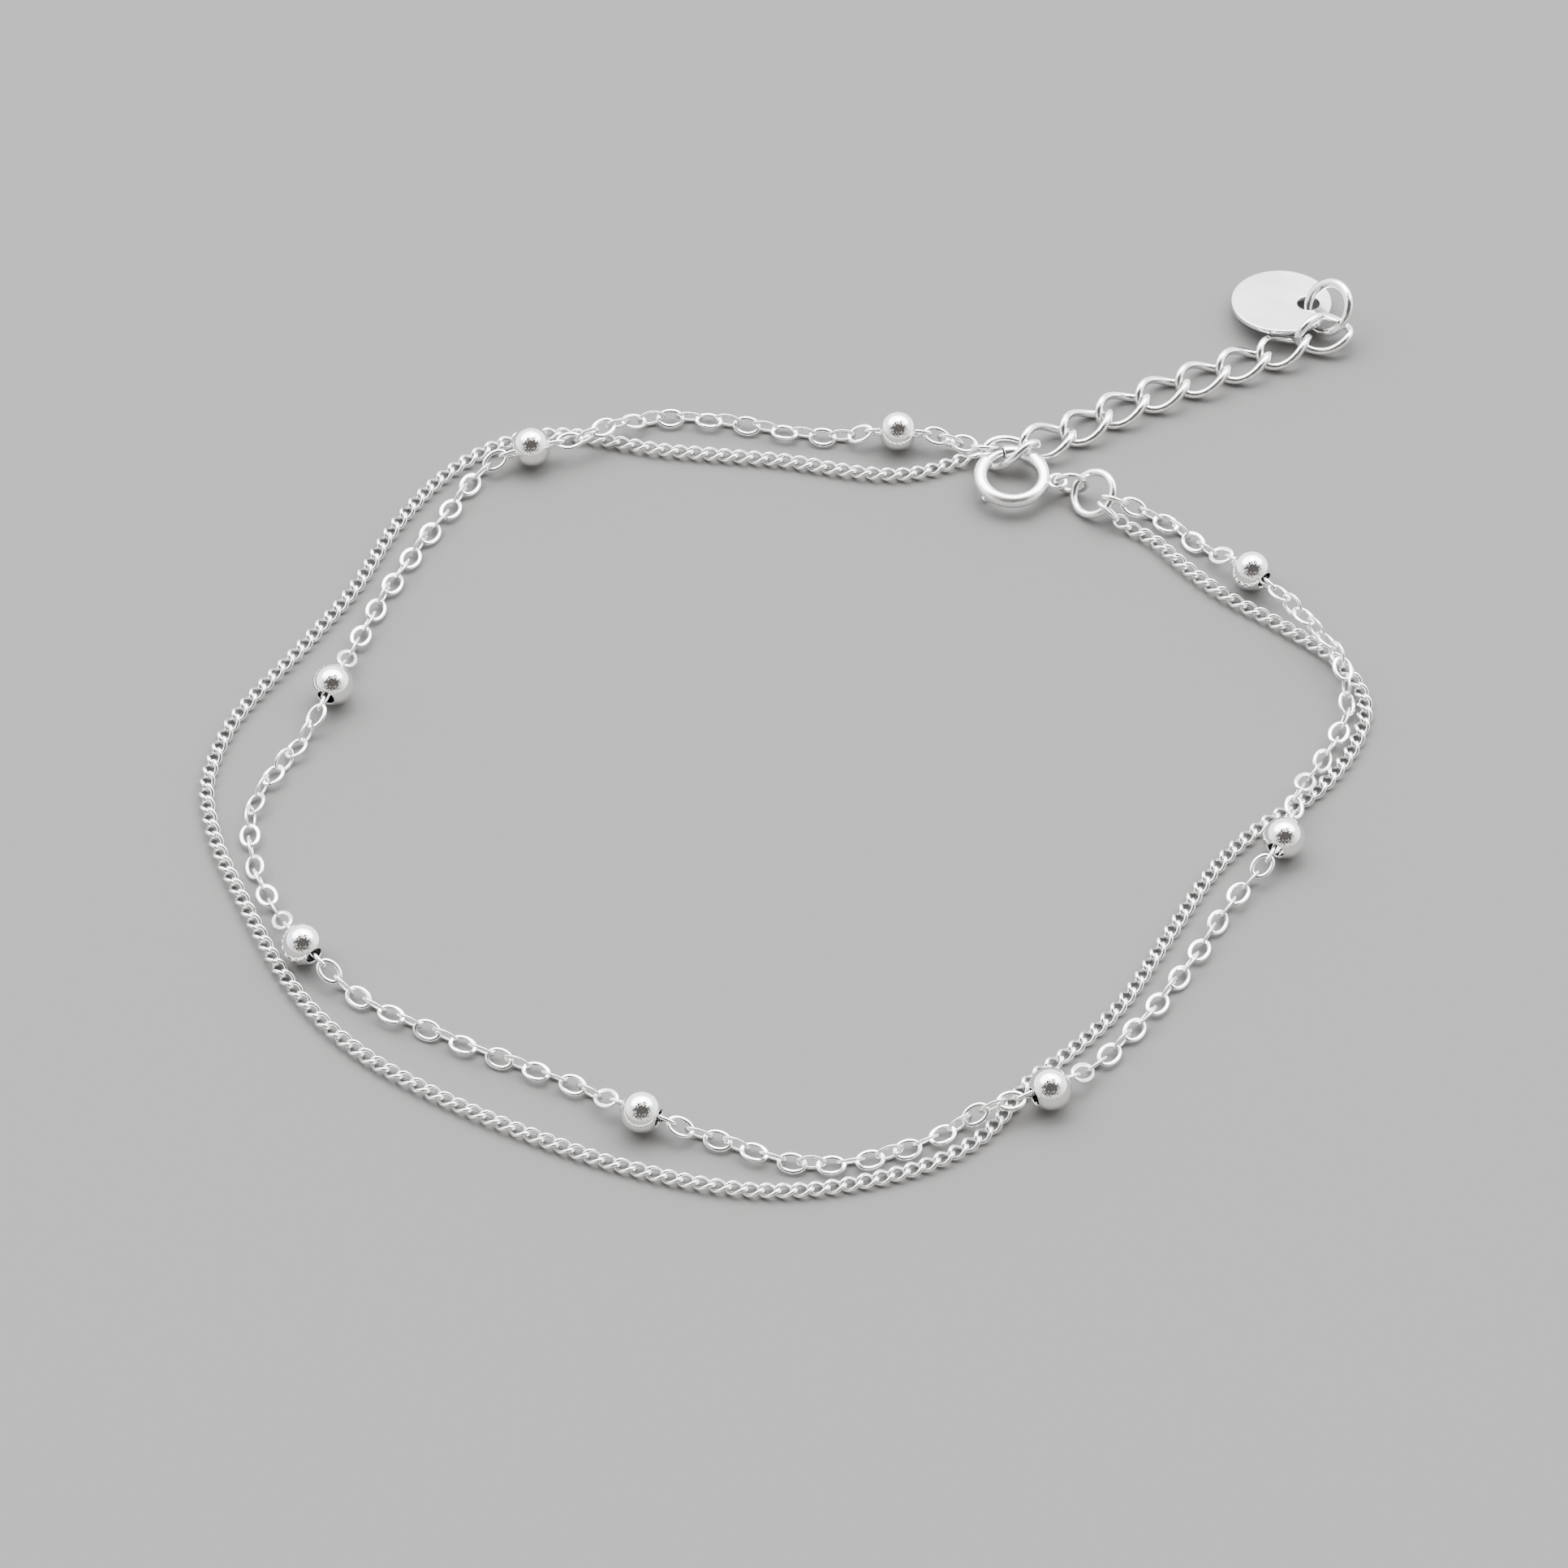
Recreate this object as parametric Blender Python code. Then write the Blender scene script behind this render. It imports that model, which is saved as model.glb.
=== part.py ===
"""A silver anklet of two fine chains, lying on a flat surface with its clasp closed.

One is a curb chain, the other carries eight round beads. Both run from a jump ring beside the ring clasp,
all the way round the ankle's place, to the first link of a short extender, which the clasp is closed on.
A plain round tag hangs on a ring at the extender's far end.

Units are metres, +Z is up, the anklet lies on z = 0 and the origin is below its middle. Places are written
in millimetres, which MM turns into metres. Run with: blender --background --python part.py
"""

from math import asin, cos, pi, radians, sin

import bmesh
import bpy
from mathutils import Matrix, Vector

MM = 0.001

# Driving dimensions

CENTRE_SHIFT = Vector((0.29, -0.27, 0.0)) * MM

BEAD_RADIUS = 1.5 * MM
BEAD_BORE_RADIUS = 0.62 * MM
BEAD_SIDES = 14
BEAD_RINGS = 7

CURB_CHAIN_RADIUS = 0.5 * MM
BEAD_CHAIN_RADIUS = 0.42 * MM
CHAIN_POINT_SPACING = 2.8 * MM

LINK_SIDES = 16
WIRE_SIDES = 6

EXTENDER_HALF_LENGTH = 2.07 * MM
EXTENDER_HALF_WIDTH = 1.33 * MM
EXTENDER_WIRE = 0.31 * MM
EXTENDER_TWIST = radians(50)

END_LINK_HALF_LENGTH = 0.95 * MM
END_LINK_HALF_WIDTH = 0.62 * MM
END_LINK_WIRE = 0.18 * MM

CLASP_RADIUS = 2.35 * MM
CLASP_TUBE = 0.52 * MM
CLASP_BORE = 0.38 * MM
CLASP_TONGUE = 0.27 * MM
CLASP_SECTORS = 8
CLASP_MOUTH = (radians(104), radians(140))
CLASP_SOCKET_END = radians(92)
CLASP_SLOT = (radians(205), radians(258))
CLASP_HOLLOW_END = radians(264)
CLASP_EYE_ANGLE = radians(-8)
CLASP_EYE_RADIUS = 0.62 * MM
CLASP_EYE_WIRE = 0.17 * MM
CLASP_EYE_REACH = 3.38 * MM
TONGUE_TIP = radians(101.5)
TONGUE_TAIL = radians(222)
KNOB_ANGLE = radians(212)
KNOB_LEAN = radians(270)
KNOB_NECK = (0.44 * MM, 0.16 * MM)
KNOB_NECK_TOP = 0.95 * MM
KNOB_CENTRE = 1.0 * MM
KNOB_RADII = (0.32 * MM, 0.26 * MM, 0.18 * MM)

TAG_RADIUS = 3.8 * MM
TAG_THICKNESS = 0.4 * MM
TAG_HOLE_RADIUS = 0.85 * MM
TAG_HOLE_REACH = 2.05 * MM
TAG_HOLE_ANGLE = radians(-9.5)
TAG_EDGE = 0.06 * MM
TAG_SIDES = 32

# Where the two flat pieces lie: the middle in millimetres, which side is raised, and by how many degrees.
CLASP_PLACE = {"x": 15.9, "y": 21.5, "z": 1.32, "raised_side": 95, "tilt": 1.5}
TAG_PLACE = {"x": 36.77, "y": 39.33, "z": 1.03, "raised_side": -86, "tilt": 9.6}

# Where each loose ring and link lies: its middle in millimetres, then the way it points along the surface,
# how far that end is raised, and how far it is rolled over, in degrees.
EYE_RING = {
    "x": 20.28, "y": 20.79, "z": 1.36, "heading": -12, "rise": 31, "roll": 103,
    "radius": 1.12, "wire": 0.22,
}
JUMP_RING = {
    "x": 21.87, "y": 19.82, "z": 1.34, "heading": -36, "rise": 12, "roll": 35,
    "radius": 1.62, "wire": 0.3,
}
TAG_RING = {
    "x": 40.21, "y": 38.03, "z": 1.89, "heading": 0, "rise": 44.5, "roll": 23,
    "radius": 1.9, "wire": 0.35,
}
END_LINKS = {
    "strand_end_right_1": {"x": 23.43, "y": 18.92, "z": 1.62, "heading": -7, "rise": -18, "roll": -53},
    "strand_end_right_2": {"x": 22.96, "y": 18.29, "z": 1.12, "heading": -36, "rise": -24, "roll": -46},
    "strand_end_left_1": {"x": 13.96, "y": 24.74, "z": 0.93, "heading": 175, "rise": 0, "roll": 45.5},
    "strand_end_left_2": {"x": 13.61, "y": 24.23, "z": 0.66, "heading": 196.5, "rise": 2, "roll": 44.5},
}
EXTENDER = [
    {"x": 15.87, "y": 24.22, "z": 1.21, "heading": 2, "rise": 18, "roll": -13},
    {"x": 18.66, "y": 25.38, "z": 1.03, "heading": 23, "rise": -1, "roll": 8.5},
    {"x": 21.58, "y": 27.12, "z": 0.89, "heading": 34, "rise": -1, "roll": 1},
    {"x": 24.38, "y": 28.85, "z": 0.87, "heading": 29, "rise": 0, "roll": 0},
    {"x": 27.44, "y": 30.41, "z": 0.87, "heading": 27, "rise": 0, "roll": 0},
    {"x": 30.54, "y": 31.89, "z": 0.87, "heading": 25, "rise": 0, "roll": 0},
    {"x": 33.66, "y": 33.33, "z": 0.87, "heading": 24, "rise": 0, "roll": 0},
    {"x": 36.75, "y": 34.75, "z": 0.9, "heading": 28, "rise": 2.5, "roll": -6},
    {"x": 39.76, "y": 35.79, "z": 1.42, "heading": 14.5, "rise": -3, "roll": 39},
]

# The curb chain's way round, from the extender's first link to the jump ring, in millimetres.
CURB_ROUTE = [
    (12.1, 23.85, 0.6), (9.8, 22.9, 0.52), (-2.5, 24.1, 0.52), (-9.8, 24.9, 0.52), (-20.0, 26.3, 0.52),
    (-23.2, 24.9, 0.52), (-26.4, 22.2, 0.52), (-29.6, 17.6, 0.52), (-32.6, 11.1, 0.52), (-35.9, 6.0, 0.52),
    (-41.3, -2.8, 0.52), (-42.2, -7.3, 0.52), (-41.5, -11.2, 0.52), (-38.7, -18.1, 0.52),
    (-36.7, -22.3, 0.52), (-34.3, -26.2, 0.52), (-30.4, -30.4, 0.52), (-25.9, -33.5, 0.52),
    (-18.9, -37.2, 0.52), (-11.8, -40.1, 0.52), (-0.7, -42.1, 0.52), (5.4, -41.1, 0.52),
    (10.1, -39.3, 0.52), (12.4, -37.7, 0.52),
    (14.3, -35.4, 0.52), (15.7, -33.1, 0.52), (17.8, -31.3, 0.52), (21.7, -27.3, 0.52), (26.4, -19.5, 0.52),
    (29.6, -14.2, 0.52), (32.4, -11.1, 0.52), (37.1, -7.4, 0.52), (39.8, -3.5, 0.52), (40.9, 0.6, 0.52),
    (39.7, 3.7, 0.52), (35.5, 7.6, 0.52), (30.8, 11.1, 0.52), (27.6, 14.4, 0.52), (26.2, 16.1, 0.52),
    (24.05, 17.5, 0.6),
]

# Each bead's middle in millimetres and the way its bore points, in degrees; each bead rests on the surface.
BEADS = [
    {"x": 7.5, "y": 25.9, "heading": 176},
    {"x": -19.8, "y": 24.3, "heading": 195},
    {"x": -33.5, "y": 1.4, "heading": 250},
    {"x": -34.5, "y": -22.0, "heading": 309},
    {"x": -10.7, "y": -36.3, "heading": 335},
    {"x": 17.2, "y": -34.4, "heading": 30},
    {"x": 34.3, "y": -12.6, "heading": 60},
    {"x": 33.2, "y": 12.2, "heading": 133},
]

# The beaded chain's way before the first bead, between beads, and after the last. It climbs over the curb
# chain where they cross.
BEAD_ROUTE = [
    [(12.4, 25.05, 0.95)],
    [(3.5, 26.0, 0.6), (-12.2, 27.4, 0.7), (-13.8, 26.5, 1.75), (-16.2, 24.8, 1.7)],
    [(-23.0, 23.0, 0.8), (-25.4, 19.4, 0.6), (-29.5, 12.1, 0.6), (-32.2, 5.4, 0.8)],
    [(-35.4, -2.8, 0.7), (-38.8, -9.3, 0.6), (-38.5, -14.0, 0.6), (-36.6, -18.6, 0.8)],
    [(-31.0, -25.6, 0.7), (-22.8, -30.1, 0.6), (-14.0, -34.3, 0.8)],
    [(-6.8, -37.6, 0.7), (0.8, -40.1, 0.6), (9.6, -37.7, 0.6), (11.6, -36.4, 0.7), (13.0, -35.8, 1.4),
     (14.4, -35.4, 1.65)],
    [(20.6, -31.7, 0.7), (26.5, -24.2, 0.6), (31.3, -16.5, 0.8)],
    [(35.1, -9.6, 1.65), (37.4, -5.2, 0.8), (39.5, -0.5, 0.8), (39.1, 3.9, 1.7), (37.3, 7.0, 1.6)],
    [(30.4, 14.5, 0.7), (27.0, 17.8, 0.6), (24.65, 18.75, 1.15)],
]


# Materials


def silver(name, shade, roughness):
    """A bare silver finish, lighter or darker and more or less polished."""
    material = bpy.data.materials.new(name)
    material.use_nodes = True
    shader = material.node_tree.nodes["Principled BSDF"]
    shader.inputs["Base Color"].default_value = (shade, shade, shade * 0.98, 1.0)
    shader.inputs["Metallic"].default_value = 1.0
    shader.inputs["Roughness"].default_value = roughness
    return material


# Placing


def new_object(name, data, material):
    """An object of the given mesh or curve, in the scene, in one material."""
    if not data.materials:
        data.materials.append(material)
    piece = bpy.data.objects.new(name, data)
    bpy.context.scene.collection.objects.link(piece)
    return piece


def place(piece, spot):
    """Put a piece at a row of the tables above."""
    piece.location = (spot["x"] * MM, spot["y"] * MM, spot["z"] * MM)
    piece.rotation_euler = (radians(spot["roll"]), -radians(spot["rise"]), radians(spot["heading"]))
    return piece


def lay_tilted(piece, spot):
    """Put a flat piece at its place with one side raised."""
    side = radians(spot["raised_side"])
    piece.location = (spot["x"] * MM, spot["y"] * MM, spot["z"] * MM)
    piece.rotation_mode = "AXIS_ANGLE"
    piece.rotation_axis_angle = (radians(spot["tilt"]), sin(side), -cos(side), 0.0)
    return piece


def guide(piece):
    """Mark a piece that only shapes another one."""
    piece.hide_render = True
    piece.display_type = "WIRE"
    return piece


def joined(piece, other, operation):
    """Add another piece to this one, or cut it away."""
    cut = piece.modifiers.new(other.name, "BOOLEAN")
    cut.operation = operation
    cut.object = guide(other)
    return piece


def smooth_mesh(name, mesh_bmesh, sharp_angle=radians(50)):
    """Turn a bmesh into a mesh with its faces out, smooth but for its sharp edges."""
    bmesh.ops.recalc_face_normals(mesh_bmesh, faces=mesh_bmesh.faces)
    mesh = bpy.data.meshes.new(name)
    mesh_bmesh.to_mesh(mesh)
    mesh_bmesh.free()
    mesh.shade_smooth()
    mesh.set_sharp_from_angle(angle=sharp_angle)
    return mesh


# Chains laid as tubes


def level_or_steady(before, after):
    """The climb at a route point: none at a high or low point, so that the chain never dips below it."""
    return 0.0 if before * after <= 0.0 else 2.0 * before * after / (before + after)


def smooth_route(points, steps=24):
    """A smooth curve through the route's points, as many short steps."""
    points = [Vector(p) for p in points]
    spans = [(b - a).length for a, b in zip(points, points[1:])]
    slopes = [(points[1] - points[0]) / spans[0]]
    for i in range(1, len(points) - 1):
        before = (points[i] - points[i - 1]) / spans[i - 1]
        after = (points[i + 1] - points[i]) / spans[i]
        slope = (before * spans[i] + after * spans[i - 1]) / (spans[i - 1] + spans[i])
        slope.z = level_or_steady(before.z, after.z)
        slopes.append(slope)
    slopes.append((points[-1] - points[-2]) / spans[-1])
    curve = []
    for i, span in enumerate(spans):
        for step in range(steps):
            t = step / steps
            curve.append(
                points[i] * (2 * t**3 - 3 * t**2 + 1)
                + slopes[i] * span * (t**3 - 2 * t**2 + t)
                + points[i + 1] * (3 * t**2 - 2 * t**3)
                + slopes[i + 1] * span * (t**3 - t**2)
            )
    return curve + [points[-1]]


def evenly_spaced(curve, spacing):
    """Points along a curve, an even step of about the given spacing apart, with both its ends."""
    reached = [0.0]
    for a, b in zip(curve, curve[1:]):
        reached.append(reached[-1] + (b - a).length)
    count = max(1, round(reached[-1] / spacing))
    points = []
    i = 0
    for step in range(count + 1):
        wanted = reached[-1] * step / count
        while i < len(curve) - 2 and reached[i + 1] < wanted:
            i += 1
        share = (wanted - reached[i]) / (reached[i + 1] - reached[i])
        points.append(curve[i].lerp(curve[i + 1], min(share, 1.0)))
    return points


def chain_tube(name, points, radius, material):
    """A round tube through the points, with closed ends."""
    curve = bpy.data.curves.new(name, "CURVE")
    curve.dimensions = "3D"
    curve.bevel_depth = radius
    curve.bevel_resolution = 2
    curve.use_fill_caps = True
    spline = curve.splines.new("POLY")
    spline.points.add(len(points) - 1)
    for slot, point in zip(spline.points, points):
        slot.co = (*point, 1.0)
    return new_object(name, curve, material)


def curb_chain(material):
    route = [Vector(p) * MM for p in CURB_ROUTE]
    points = evenly_spaced(smooth_route(route), CHAIN_POINT_SPACING)
    return chain_tube("curb_chain", points, CURB_CHAIN_RADIUS, material)


def bead_middle(bead):
    return Vector((bead["x"] * MM, bead["y"] * MM, BEAD_RADIUS))


def bead_direction(bead):
    return Vector((cos(radians(bead["heading"])), sin(radians(bead["heading"])), 0.0))


def bead_chain(material):
    """The beaded chain runs straight through each bore and in a smooth curve between two beads."""
    mouths = []
    for bead in BEADS:
        reach = bead_direction(bead) * BEAD_RADIUS
        mouths.append((bead_middle(bead) - reach, bead_middle(bead) + reach))
    route = []
    for i, stretch in enumerate(BEAD_ROUTE):
        route += [mouths[i - 1][1]] if i > 0 else []
        route += [Vector(p) * MM for p in stretch]
        route += [mouths[i][0]] if i < len(BEADS) else []
    curve = smooth_route(route)
    stops = [0]
    for pair in mouths:
        stops += [min(range(len(curve)), key=lambda k: (curve[k] - end).length) for end in pair]
    stops.append(len(curve) - 1)
    points = []
    for start, end in zip(stops, stops[1:]):
        points += evenly_spaced(curve[start:end + 1], CHAIN_POINT_SPACING * 1.15)[:-1]
    points.append(curve[-1])
    return chain_tube("bead_chain", points, BEAD_CHAIN_RADIUS, material)


# Beads


def bead_mesh():
    """A ball drilled through along X: its outline from mouth to mouth, turned about the bore."""
    mouth_angle = pi / 2 - bore_angle()
    outline = []
    for ring in range(BEAD_RINGS + 1):
        angle = -mouth_angle + 2 * mouth_angle * ring / BEAD_RINGS
        outline.append((BEAD_RADIUS * sin(angle), BEAD_RADIUS * cos(angle)))
    ball = bmesh.new()
    rows = []
    for side in range(BEAD_SIDES):
        turn = 2 * pi * side / BEAD_SIDES
        rows.append([ball.verts.new((x, r * cos(turn), r * sin(turn))) for x, r in outline])
    for row, after in zip(rows, rows[1:] + rows[:1]):
        for k in range(BEAD_RINGS):
            ball.faces.new((row[k], row[k + 1], after[k + 1], after[k]))
        ball.faces.new((row[-1], row[0], after[0], after[-1]))
    return smooth_mesh("bead", ball)


def bore_angle():
    """How far round the ball the bore's mouth lies from the bore's own line."""
    return asin(BEAD_BORE_RADIUS / BEAD_RADIUS)


def beads(material):
    mesh = bead_mesh()
    for number, bead in enumerate(BEADS, 1):
        piece = new_object(f"bead_{number}", mesh, material)
        piece.location = bead_middle(bead)
        piece.rotation_euler = (0.0, 0.0, radians(bead["heading"]))


# Links and rings of round wire


def wire_loop(name, half_length, half_width, wire, twist=0.0):
    """An oval loop of round wire about its own middle, twisted along its length."""
    def centre(turn):
        lean = -twist * cos(turn)
        across = half_width * sin(turn)
        return Vector((half_length * cos(turn), across * cos(lean), across * sin(lean)))

    loop = bmesh.new()
    rows = []
    for side in range(LINK_SIDES):
        turn = 2 * pi * side / LINK_SIDES
        middle = centre(turn)
        along = (centre(turn + 0.01) - centre(turn - 0.01)).normalized()
        outward = (middle - along * middle.dot(along)).normalized()
        upward = along.cross(outward)
        row = []
        for k in range(WIRE_SIDES):
            angle = 2 * pi * k / WIRE_SIDES
            row.append(loop.verts.new(middle + outward * wire * cos(angle) + upward * wire * sin(angle)))
        rows.append(row)
    for row, after in zip(rows, rows[1:] + rows[:1]):
        for k in range(WIRE_SIDES):
            after_k = (k + 1) % WIRE_SIDES
            loop.faces.new((row[k], row[after_k], after[after_k], after[k]))
    return smooth_mesh(name, loop, radians(80))


def round_ring(name, ring, material):
    mesh = wire_loop(name, ring["radius"] * MM, ring["radius"] * MM, ring["wire"] * MM)
    return place(new_object(name, mesh, material), ring)


def extender(material):
    size = (EXTENDER_HALF_LENGTH, EXTENDER_HALF_WIDTH, EXTENDER_WIRE)
    mesh = wire_loop("extender_link", *size, twist=EXTENDER_TWIST)
    for number, spot in enumerate(EXTENDER, 1):
        place(new_object(f"extender_link_{number}", mesh, material), spot)


def strand_ends(material):
    mesh = wire_loop("strand_end", END_LINK_HALF_LENGTH, END_LINK_HALF_WIDTH, END_LINK_WIRE)
    for name, spot in END_LINKS.items():
        place(new_object(name, mesh, material), spot)


# The ring clasp: a round tube with a mouth, its tongue, and the frame that both turn about


def clasp_frame():
    """An empty at the clasp ring's middle, with Z along the line that the tongue turns about."""
    frame = bpy.data.objects.new("clasp_frame", None)
    bpy.context.scene.collection.objects.link(frame)
    return lay_tilted(frame, CLASP_PLACE)


def on_clasp(turn, lean, reach):
    """A point of the clasp's tube: how far round the ring, which way out of its middle, how far."""
    outward = Vector((cos(turn), sin(turn), 0.0))
    return outward * (CLASP_RADIUS + reach * cos(lean)) + Vector((0.0, 0.0, reach * sin(lean)))


def clasp_stretches():
    """The tube from one side of the mouth to the other: start, end, steps, solid or not, slotted or not."""
    full_turn = 2 * pi
    return [
        (CLASP_MOUTH[1], CLASP_SLOT[0], 6, False, False),
        (CLASP_SLOT[0], CLASP_SLOT[1], 4, False, True),
        (CLASP_SLOT[1], CLASP_HOLLOW_END, 1, False, False),
        (CLASP_HOLLOW_END, full_turn + CLASP_SOCKET_END, 15, True, False),
        (full_turn + CLASP_SOCKET_END, full_turn + CLASP_MOUTH[0], 1, False, False),
    ]


def clasp_tube_mesh():
    """Fill the tube with small cells, leave out its bore and slot, and keep the faces on the outside."""
    turns = [CLASP_MOUTH[1]]
    cells = []
    for start, end, steps, has_core, has_slot in clasp_stretches():
        for step in range(steps):
            turns.append(start + (end - start) * (step + 1) / steps)
            cells.append((has_core, has_slot))
    slot_sector = round(KNOB_LEAN / (2 * pi / CLASP_SECTORS))
    tube = bmesh.new()
    middles = [tube.verts.new(on_clasp(turn, 0.0, 0.0)) for turn in turns]
    inner = []
    outer = []
    for turn in turns:
        leans = [2 * pi * (k - 0.5) / CLASP_SECTORS for k in range(CLASP_SECTORS)]
        inner.append([tube.verts.new(on_clasp(turn, lean, CLASP_BORE)) for lean in leans])
        outer.append([tube.verts.new(on_clasp(turn, lean, CLASP_TUBE)) for lean in leans])
    sides = []
    for i, (has_core, has_slot) in enumerate(cells):
        j = i + 1
        for k in range(CLASP_SECTORS):
            m = (k + 1) % CLASP_SECTORS
            if not (has_slot and k == slot_sector):
                a, b, c, d = inner[i][k], inner[i][m], outer[i][m], outer[i][k]
                e, f, g, h = inner[j][k], inner[j][m], outer[j][m], outer[j][k]
                sides += [(a, b, c, d), (e, f, g, h), (a, b, f, e)]
                sides += [(d, c, g, h), (a, d, h, e), (b, c, g, f)]
            if has_core:
                a, b, c = middles[i], inner[i][k], inner[i][m]
                d, e, f = middles[j], inner[j][k], inner[j][m]
                sides += [(a, b, c), (d, e, f), (b, c, f, e), (a, b, e, d), (a, c, f, d)]
    seen = {}
    for side in sides:
        seen.setdefault(frozenset(side), []).append(side)
    for copies in seen.values():
        if len(copies) == 1:
            tube.faces.new(copies[0])
    loose = [vert for vert in tube.verts if not vert.link_faces]
    bmesh.ops.delete(tube, geom=loose, context="VERTS")
    return smooth_mesh("clasp_ring", tube)


def clasp_ring(frame, material):
    """The tube with the small eye soldered to its side."""
    ring = new_object("clasp_ring", clasp_tube_mesh(), material)
    ring.parent = frame
    eye_mesh = wire_loop("clasp_eye", CLASP_EYE_RADIUS, CLASP_EYE_RADIUS, CLASP_EYE_WIRE)
    eye = new_object("clasp_eye", eye_mesh, material)
    eye.parent = frame
    eye.location = Vector((cos(CLASP_EYE_ANGLE), sin(CLASP_EYE_ANGLE), 0.0)) * CLASP_EYE_REACH
    return joined(ring, eye, "UNION")


def tongue_rod_mesh():
    """The curved rod that closes the clasp's mouth."""
    steps = 10
    rod = bmesh.new()
    rows = []
    for step in range(steps + 1):
        turn = TONGUE_TAIL + (TONGUE_TIP - TONGUE_TAIL) * step / steps
        leans = [2 * pi * (k - 0.5) / CLASP_SECTORS for k in range(CLASP_SECTORS)]
        rows.append([rod.verts.new(on_clasp(turn, lean, CLASP_TONGUE)) for lean in leans])
    for row, after in zip(rows, rows[1:]):
        for k in range(CLASP_SECTORS):
            m = (k + 1) % CLASP_SECTORS
            rod.faces.new((row[k], row[m], after[m], after[k]))
    rod.faces.new(rows[0])
    rod.faces.new(rows[-1])
    return smooth_mesh("clasp_tongue", rod)


def knob_frame():
    """The knob's own axes: X along the rod, Z out through the slot."""
    outward = Vector((cos(KNOB_ANGLE), sin(KNOB_ANGLE), 0.0))
    along = Vector((-sin(KNOB_ANGLE), cos(KNOB_ANGLE), 0.0))
    up = outward * cos(KNOB_LEAN) + Vector((0.0, 0.0, sin(KNOB_LEAN)))
    axes = Matrix((along, up.cross(along), up)).transposed().to_4x4()
    return Matrix.Translation(outward * CLASP_RADIUS) @ axes


def clasp_tongue(frame, material):
    """The rod, with the neck that stands in the slot under the ring and the knob on it."""
    rod = new_object("clasp_tongue", tongue_rod_mesh(), material)
    rod.parent = frame
    neck_mesh = bmesh.new()
    size = Matrix.Diagonal((KNOB_NECK[0], KNOB_NECK[1], KNOB_NECK_TOP, 1.0))
    lift = Matrix.Translation((0.0, 0.0, KNOB_NECK_TOP / 2))
    bmesh.ops.create_cube(neck_mesh, size=1.0, matrix=knob_frame() @ lift @ size)
    neck = new_object("knob_neck", smooth_mesh("knob_neck", neck_mesh), material)
    knob_mesh = bmesh.new()
    shape = Matrix.Translation((0.0, 0.0, KNOB_CENTRE)) @ Matrix.Diagonal((*KNOB_RADII, 1.0))
    bmesh.ops.create_uvsphere(knob_mesh, u_segments=10, v_segments=6, radius=1.0,
                              matrix=knob_frame() @ shape)
    knob = new_object("knob", smooth_mesh("knob", knob_mesh), material)
    for part in (neck, knob):
        part.parent = frame
        joined(rod, part, "UNION")
    return rod


# The tag


def tag_disc(material):
    """A flat round disc with a hole near its edge, leaning on the extender."""
    blank = bmesh.new()
    bmesh.ops.create_cone(blank, cap_ends=True, segments=TAG_SIDES, radius1=TAG_RADIUS, radius2=TAG_RADIUS,
                          depth=TAG_THICKNESS)
    disc = new_object("tag_disc", smooth_mesh("tag_disc", blank), material)
    edge = disc.modifiers.new("edge", "BEVEL")
    edge.width = TAG_EDGE
    edge.segments = 1
    edge.limit_method = "ANGLE"
    lay_tilted(disc, TAG_PLACE)
    drill = bmesh.new()
    bmesh.ops.create_cone(drill, cap_ends=True, segments=LINK_SIDES, radius1=TAG_HOLE_RADIUS,
                          radius2=TAG_HOLE_RADIUS, depth=TAG_THICKNESS * 3)
    hole = new_object("tag_hole", smooth_mesh("tag_hole", drill), material)
    hole.parent = disc
    hole.location = Vector((cos(TAG_HOLE_ANGLE), sin(TAG_HOLE_ANGLE), 0.0)) * TAG_HOLE_REACH
    return joined(disc, hole, "DIFFERENCE")


# The whole anklet


def centre_over_origin():
    """Move the anklet so that the middle of its box lies over the origin."""
    for piece in bpy.data.objects:
        if piece.parent is None:
            piece.location += CENTRE_SHIFT


for old in list(bpy.data.objects):
    bpy.data.objects.remove(old, do_unlink=True)

curb_chain(silver("curb_chain_silver", 0.78, 0.24))
bead_chain(silver("bead_chain_silver", 0.78, 0.24))
beads(silver("bead_silver", 0.86, 0.07))
strand_ends(silver("end_link_silver", 0.8, 0.2))
extender(silver("extender_silver", 0.82, 0.18))
clasp_silver = silver("clasp_silver", 0.84, 0.1)
clasp = clasp_frame()
clasp_ring(clasp, clasp_silver)
clasp_tongue(clasp, clasp_silver)
ring_silver = silver("ring_silver", 0.82, 0.15)
round_ring("clasp_eye_ring", EYE_RING, ring_silver)
round_ring("jump_ring", JUMP_RING, ring_silver)
round_ring("tag_ring", TAG_RING, ring_silver)
tag_disc(silver("tag_silver", 0.88, 0.16))
centre_over_origin()
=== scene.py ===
"""The looks of a silver anklet of two fine chains with beads, a ring clasp, an extender and a plain tag."""

from math import asin, cos, pi, radians, sin

import bmesh
import bpy
import numpy as np
from mathutils import Matrix, Vector


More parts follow.
